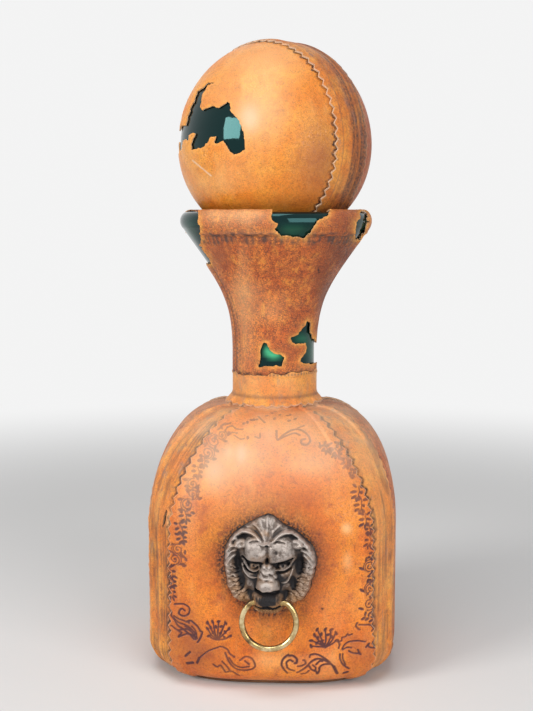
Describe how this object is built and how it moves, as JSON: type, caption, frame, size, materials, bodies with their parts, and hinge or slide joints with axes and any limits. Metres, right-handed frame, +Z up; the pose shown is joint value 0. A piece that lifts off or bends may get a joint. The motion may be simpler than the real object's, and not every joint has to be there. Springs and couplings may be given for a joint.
{
  "type": "decanter",
  "caption": "Squarish glass decanter wrapped in pinked leather panels, with a flared neck, a leather-covered ball stopper on a cork and a lion-mask ring pull.",
  "frame": {"origin": "middle of the base, on the surface that the decanter stands on", "axes": "+Z up along the neck, -Y towards the lion mask, +X to the viewer's right"},
  "size_m": [0.1324, 0.1495, 0.3313],
  "materials": {
    "tan_leather": "smooth waxed calf, burnished",
    "strip_leather": "worn, creased",
    "russet_leather": "fine grain, mottled",
    "sole_leather": "stiff, matt",
    "green_glass": "dark bottle green, polished",
    "cork": "raw cork",
    "aged_bronze": "cast, darkened, rubbed on the high places",
    "bright_brass": "drawn wire, lightly tarnished"
  },
  "bodies": {
    "decanter": {"glass_bottle": "green_glass", "base_pad": "sole_leather", "front_panel": "tan_leather", "back_panel": "tan_leather", "left_panel": "russet_leather", "right_panel": "russet_leather", "front_left_strip": "strip_leather", "front_right_strip": "strip_leather", "back_left_strip": "strip_leather", "back_right_strip": "strip_leather", "neck_collar": "strip_leather", "neck_sleeve": "russet_leather", "rim_band": "russet_leather", "lion_mask": "aged_bronze"},
    "ring": {"pull_ring": "bright_brass"},
    "stopper": {"stopper_glass": "green_glass", "stopper_cork": "cork", "stopper_belt": "strip_leather", "stopper_front_cap": "tan_leather", "stopper_back_cap": "russet_leather"}
  },
  "joints": [
    {"name": "stopper_lift", "type": "slide", "parent": "decanter", "child": "stopper", "axis": [0, 0, 1], "range_m": [0, 0.08]},
    {"name": "ring_swing", "type": "hinge", "parent": "decanter", "child": "ring", "pos_m": [0, -0.0739, 0.0498], "axis": [-1, 0, 0], "range_deg": [-12, 160]}
  ]
}
